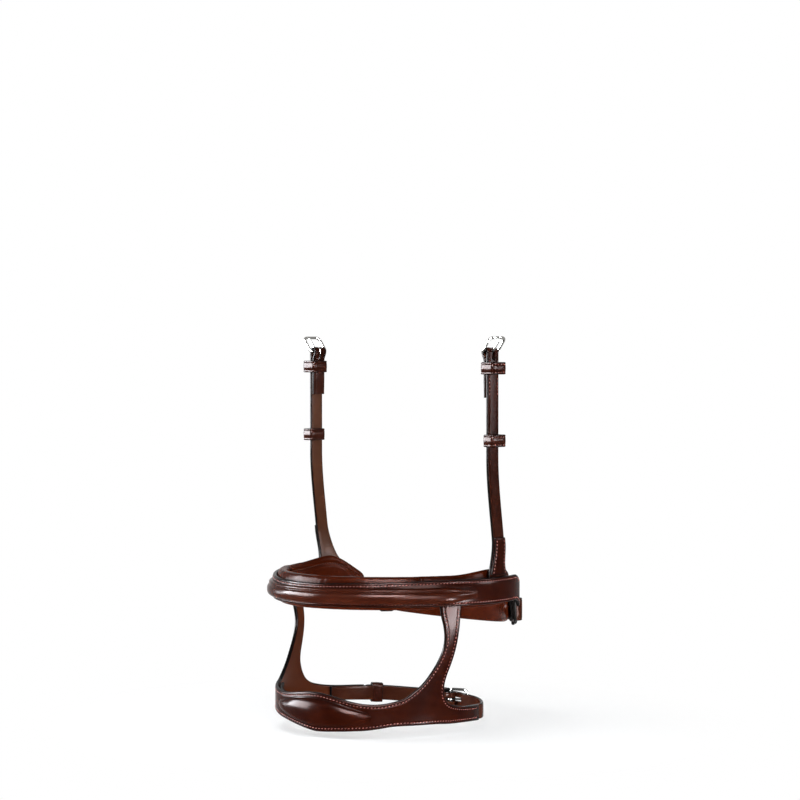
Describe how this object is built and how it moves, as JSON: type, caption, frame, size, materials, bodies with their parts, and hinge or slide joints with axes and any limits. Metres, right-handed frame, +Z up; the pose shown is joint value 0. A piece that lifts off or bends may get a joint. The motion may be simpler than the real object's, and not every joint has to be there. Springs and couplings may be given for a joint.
{
  "type": "double noseband",
  "caption": "Double noseband of a riding bridle: padded nose band on buckled hangers, with curved arms to a padded lower band that buckles under the chin.",
  "frame": {"origin": "middle of the padded lining's inner face at the front, where the band rests on the nose", "axes": "+X towards the near (left) side of the horse, +Y back towards the jaw, +Z up along the cheeks"},
  "size_m": [0.2102, 0.1973, 0.2955],
  "materials": {
    "dark_leather": "polished dark brown bridle leather",
    "lining_leather": "soft tan-brown lining leather",
    "strap_leather": "brown strap leather with dark dyed edges",
    "steel": "polished stainless steel"
  },
  "bodies": {
    "noseband": {"chin_billet": "strap_leather", "chin_keeper": "strap_leather", "chin_strap": "strap_leather", "jaw_billet": "strap_leather", "jaw_keeper": "strap_leather", "jaw_pad": "lining_leather", "jaw_strap": "strap_leather", "lower_band_leather": "dark_leather", "lower_band_lining": "lining_leather", "lower_nose_pad": "dark_leather", "near_ring": "steel", "near_ring_chape": "strap_leather", "near_wing": "dark_leather", "near_wing_patch": "dark_leather", "off_ring": "steel", "off_ring_chape": "strap_leather", "off_wing": "dark_leather", "off_wing_patch": "dark_leather", "upper_band_facing": "dark_leather", "upper_band_leather": "dark_leather", "upper_band_lining": "lining_leather"},
    "near_hanger": {"near_hanger_strap": "strap_leather", "near_hanger_keeper": "strap_leather"},
    "near_hanger_runner": {"near_hanger_runner": "strap_leather"},
    "near_hanger_frame": {"near_hanger_buckle_frame": "steel"},
    "near_hanger_tongue": {"near_hanger_buckle_tongue": "steel"},
    "off_hanger": {"off_hanger_strap": "strap_leather", "off_hanger_keeper": "strap_leather"},
    "off_hanger_runner": {"off_hanger_runner": "strap_leather"},
    "off_hanger_frame": {"off_hanger_buckle_frame": "steel"},
    "off_hanger_tongue": {"off_hanger_buckle_tongue": "steel"},
    "ring_roller": {"near_ring_roller": "steel"},
    "jaw_frame": {"jaw_buckle_frame": "steel"},
    "jaw_tongue": {"jaw_buckle_tongue": "steel"},
    "jaw_runner": {"jaw_runner": "strap_leather"},
    "chin_frame": {"chin_buckle_frame": "steel"},
    "chin_tongue": {"chin_buckle_tongue": "steel"},
    "chin_runner": {"chin_runner": "strap_leather"}
  },
  "joints": [
    {"name": "near_hanger_flex", "type": "hinge", "parent": "noseband", "child": "near_hanger", "pos_m": [0.09594, 0.09988, 0.0406], "axis": [0, 1, 0], "range_deg": [-12, 12], "stiffness_Nm_per_rad": 0.05},
    {"name": "near_hanger_runner_slide", "type": "slide", "parent": "near_hanger", "child": "near_hanger_runner", "axis": [0, 0, 1], "range_m": [-0.01, 0.022]},
    {"name": "near_hanger_frame_hinge", "type": "hinge", "parent": "near_hanger", "child": "near_hanger_frame", "pos_m": [0.09334, 0.09405, 0.178], "axis": [0, 1, 0], "range_deg": [-30, 30]},
    {"name": "near_hanger_tongue_hinge", "type": "hinge", "parent": "near_hanger_frame", "child": "near_hanger_tongue", "pos_m": [0.09334, 0.09405, 0.178], "axis": [0, 1, 0], "range_deg": [0, 45]},
    {"name": "off_hanger_flex", "type": "hinge", "parent": "noseband", "child": "off_hanger", "pos_m": [-0.09594, 0.09988, 0.0406], "axis": [0, 1, 0], "range_deg": [-12, 12], "stiffness_Nm_per_rad": 0.05},
    {"name": "off_hanger_runner_slide", "type": "slide", "parent": "off_hanger", "child": "off_hanger_runner", "axis": [0, 0, 1], "range_m": [-0.01, 0.022]},
    {"name": "off_hanger_frame_hinge", "type": "hinge", "parent": "off_hanger", "child": "off_hanger_frame", "pos_m": [-0.09334, 0.09405, 0.178], "axis": [0, -1, 0], "range_deg": [-30, 30]},
    {"name": "off_hanger_tongue_hinge", "type": "hinge", "parent": "off_hanger_frame", "child": "off_hanger_tongue", "pos_m": [-0.09334, 0.09405, 0.178], "axis": [0, -1, 0], "range_deg": [0, 45]},
    {"name": "ring_roller_spin", "type": "hinge", "parent": "noseband", "child": "ring_roller", "pos_m": [0.06659, 0.15229, -0.02], "axis": [0, 0, -1], "continuous": true},
    {"name": "jaw_frame_hinge", "type": "hinge", "parent": "noseband", "child": "jaw_frame", "pos_m": [-0.0218, 0.17042, -0.02], "axis": [0, 0, 1], "range_deg": [0, 8]},
    {"name": "jaw_tongue_hinge", "type": "hinge", "parent": "jaw_frame", "child": "jaw_tongue", "pos_m": [-0.0218, 0.17042, -0.02], "axis": [0, 0, 1], "range_deg": [0, 12]},
    {"name": "jaw_runner_slide", "type": "slide", "parent": "noseband", "child": "jaw_runner", "axis": [0.9244, 0.3813, 0], "range_m": [-0.003, 0.001]},
    {"name": "chin_frame_hinge", "type": "hinge", "parent": "noseband", "child": "chin_frame", "pos_m": [-0.00243, 0.15204, -0.09631], "axis": [0.0148, 0.0006, 0.9999], "range_deg": [0, 8]},
    {"name": "chin_tongue_hinge", "type": "hinge", "parent": "chin_frame", "child": "chin_tongue", "pos_m": [-0.00243, 0.15204, -0.09631], "axis": [0.0148, 0.0006, 0.9999], "range_deg": [0, 12]},
    {"name": "chin_runner_slide", "type": "slide", "parent": "noseband", "child": "chin_runner", "axis": [0.5713, 0.8189, -0.055], "range_m": [-0.002, 0.002]}
  ]
}
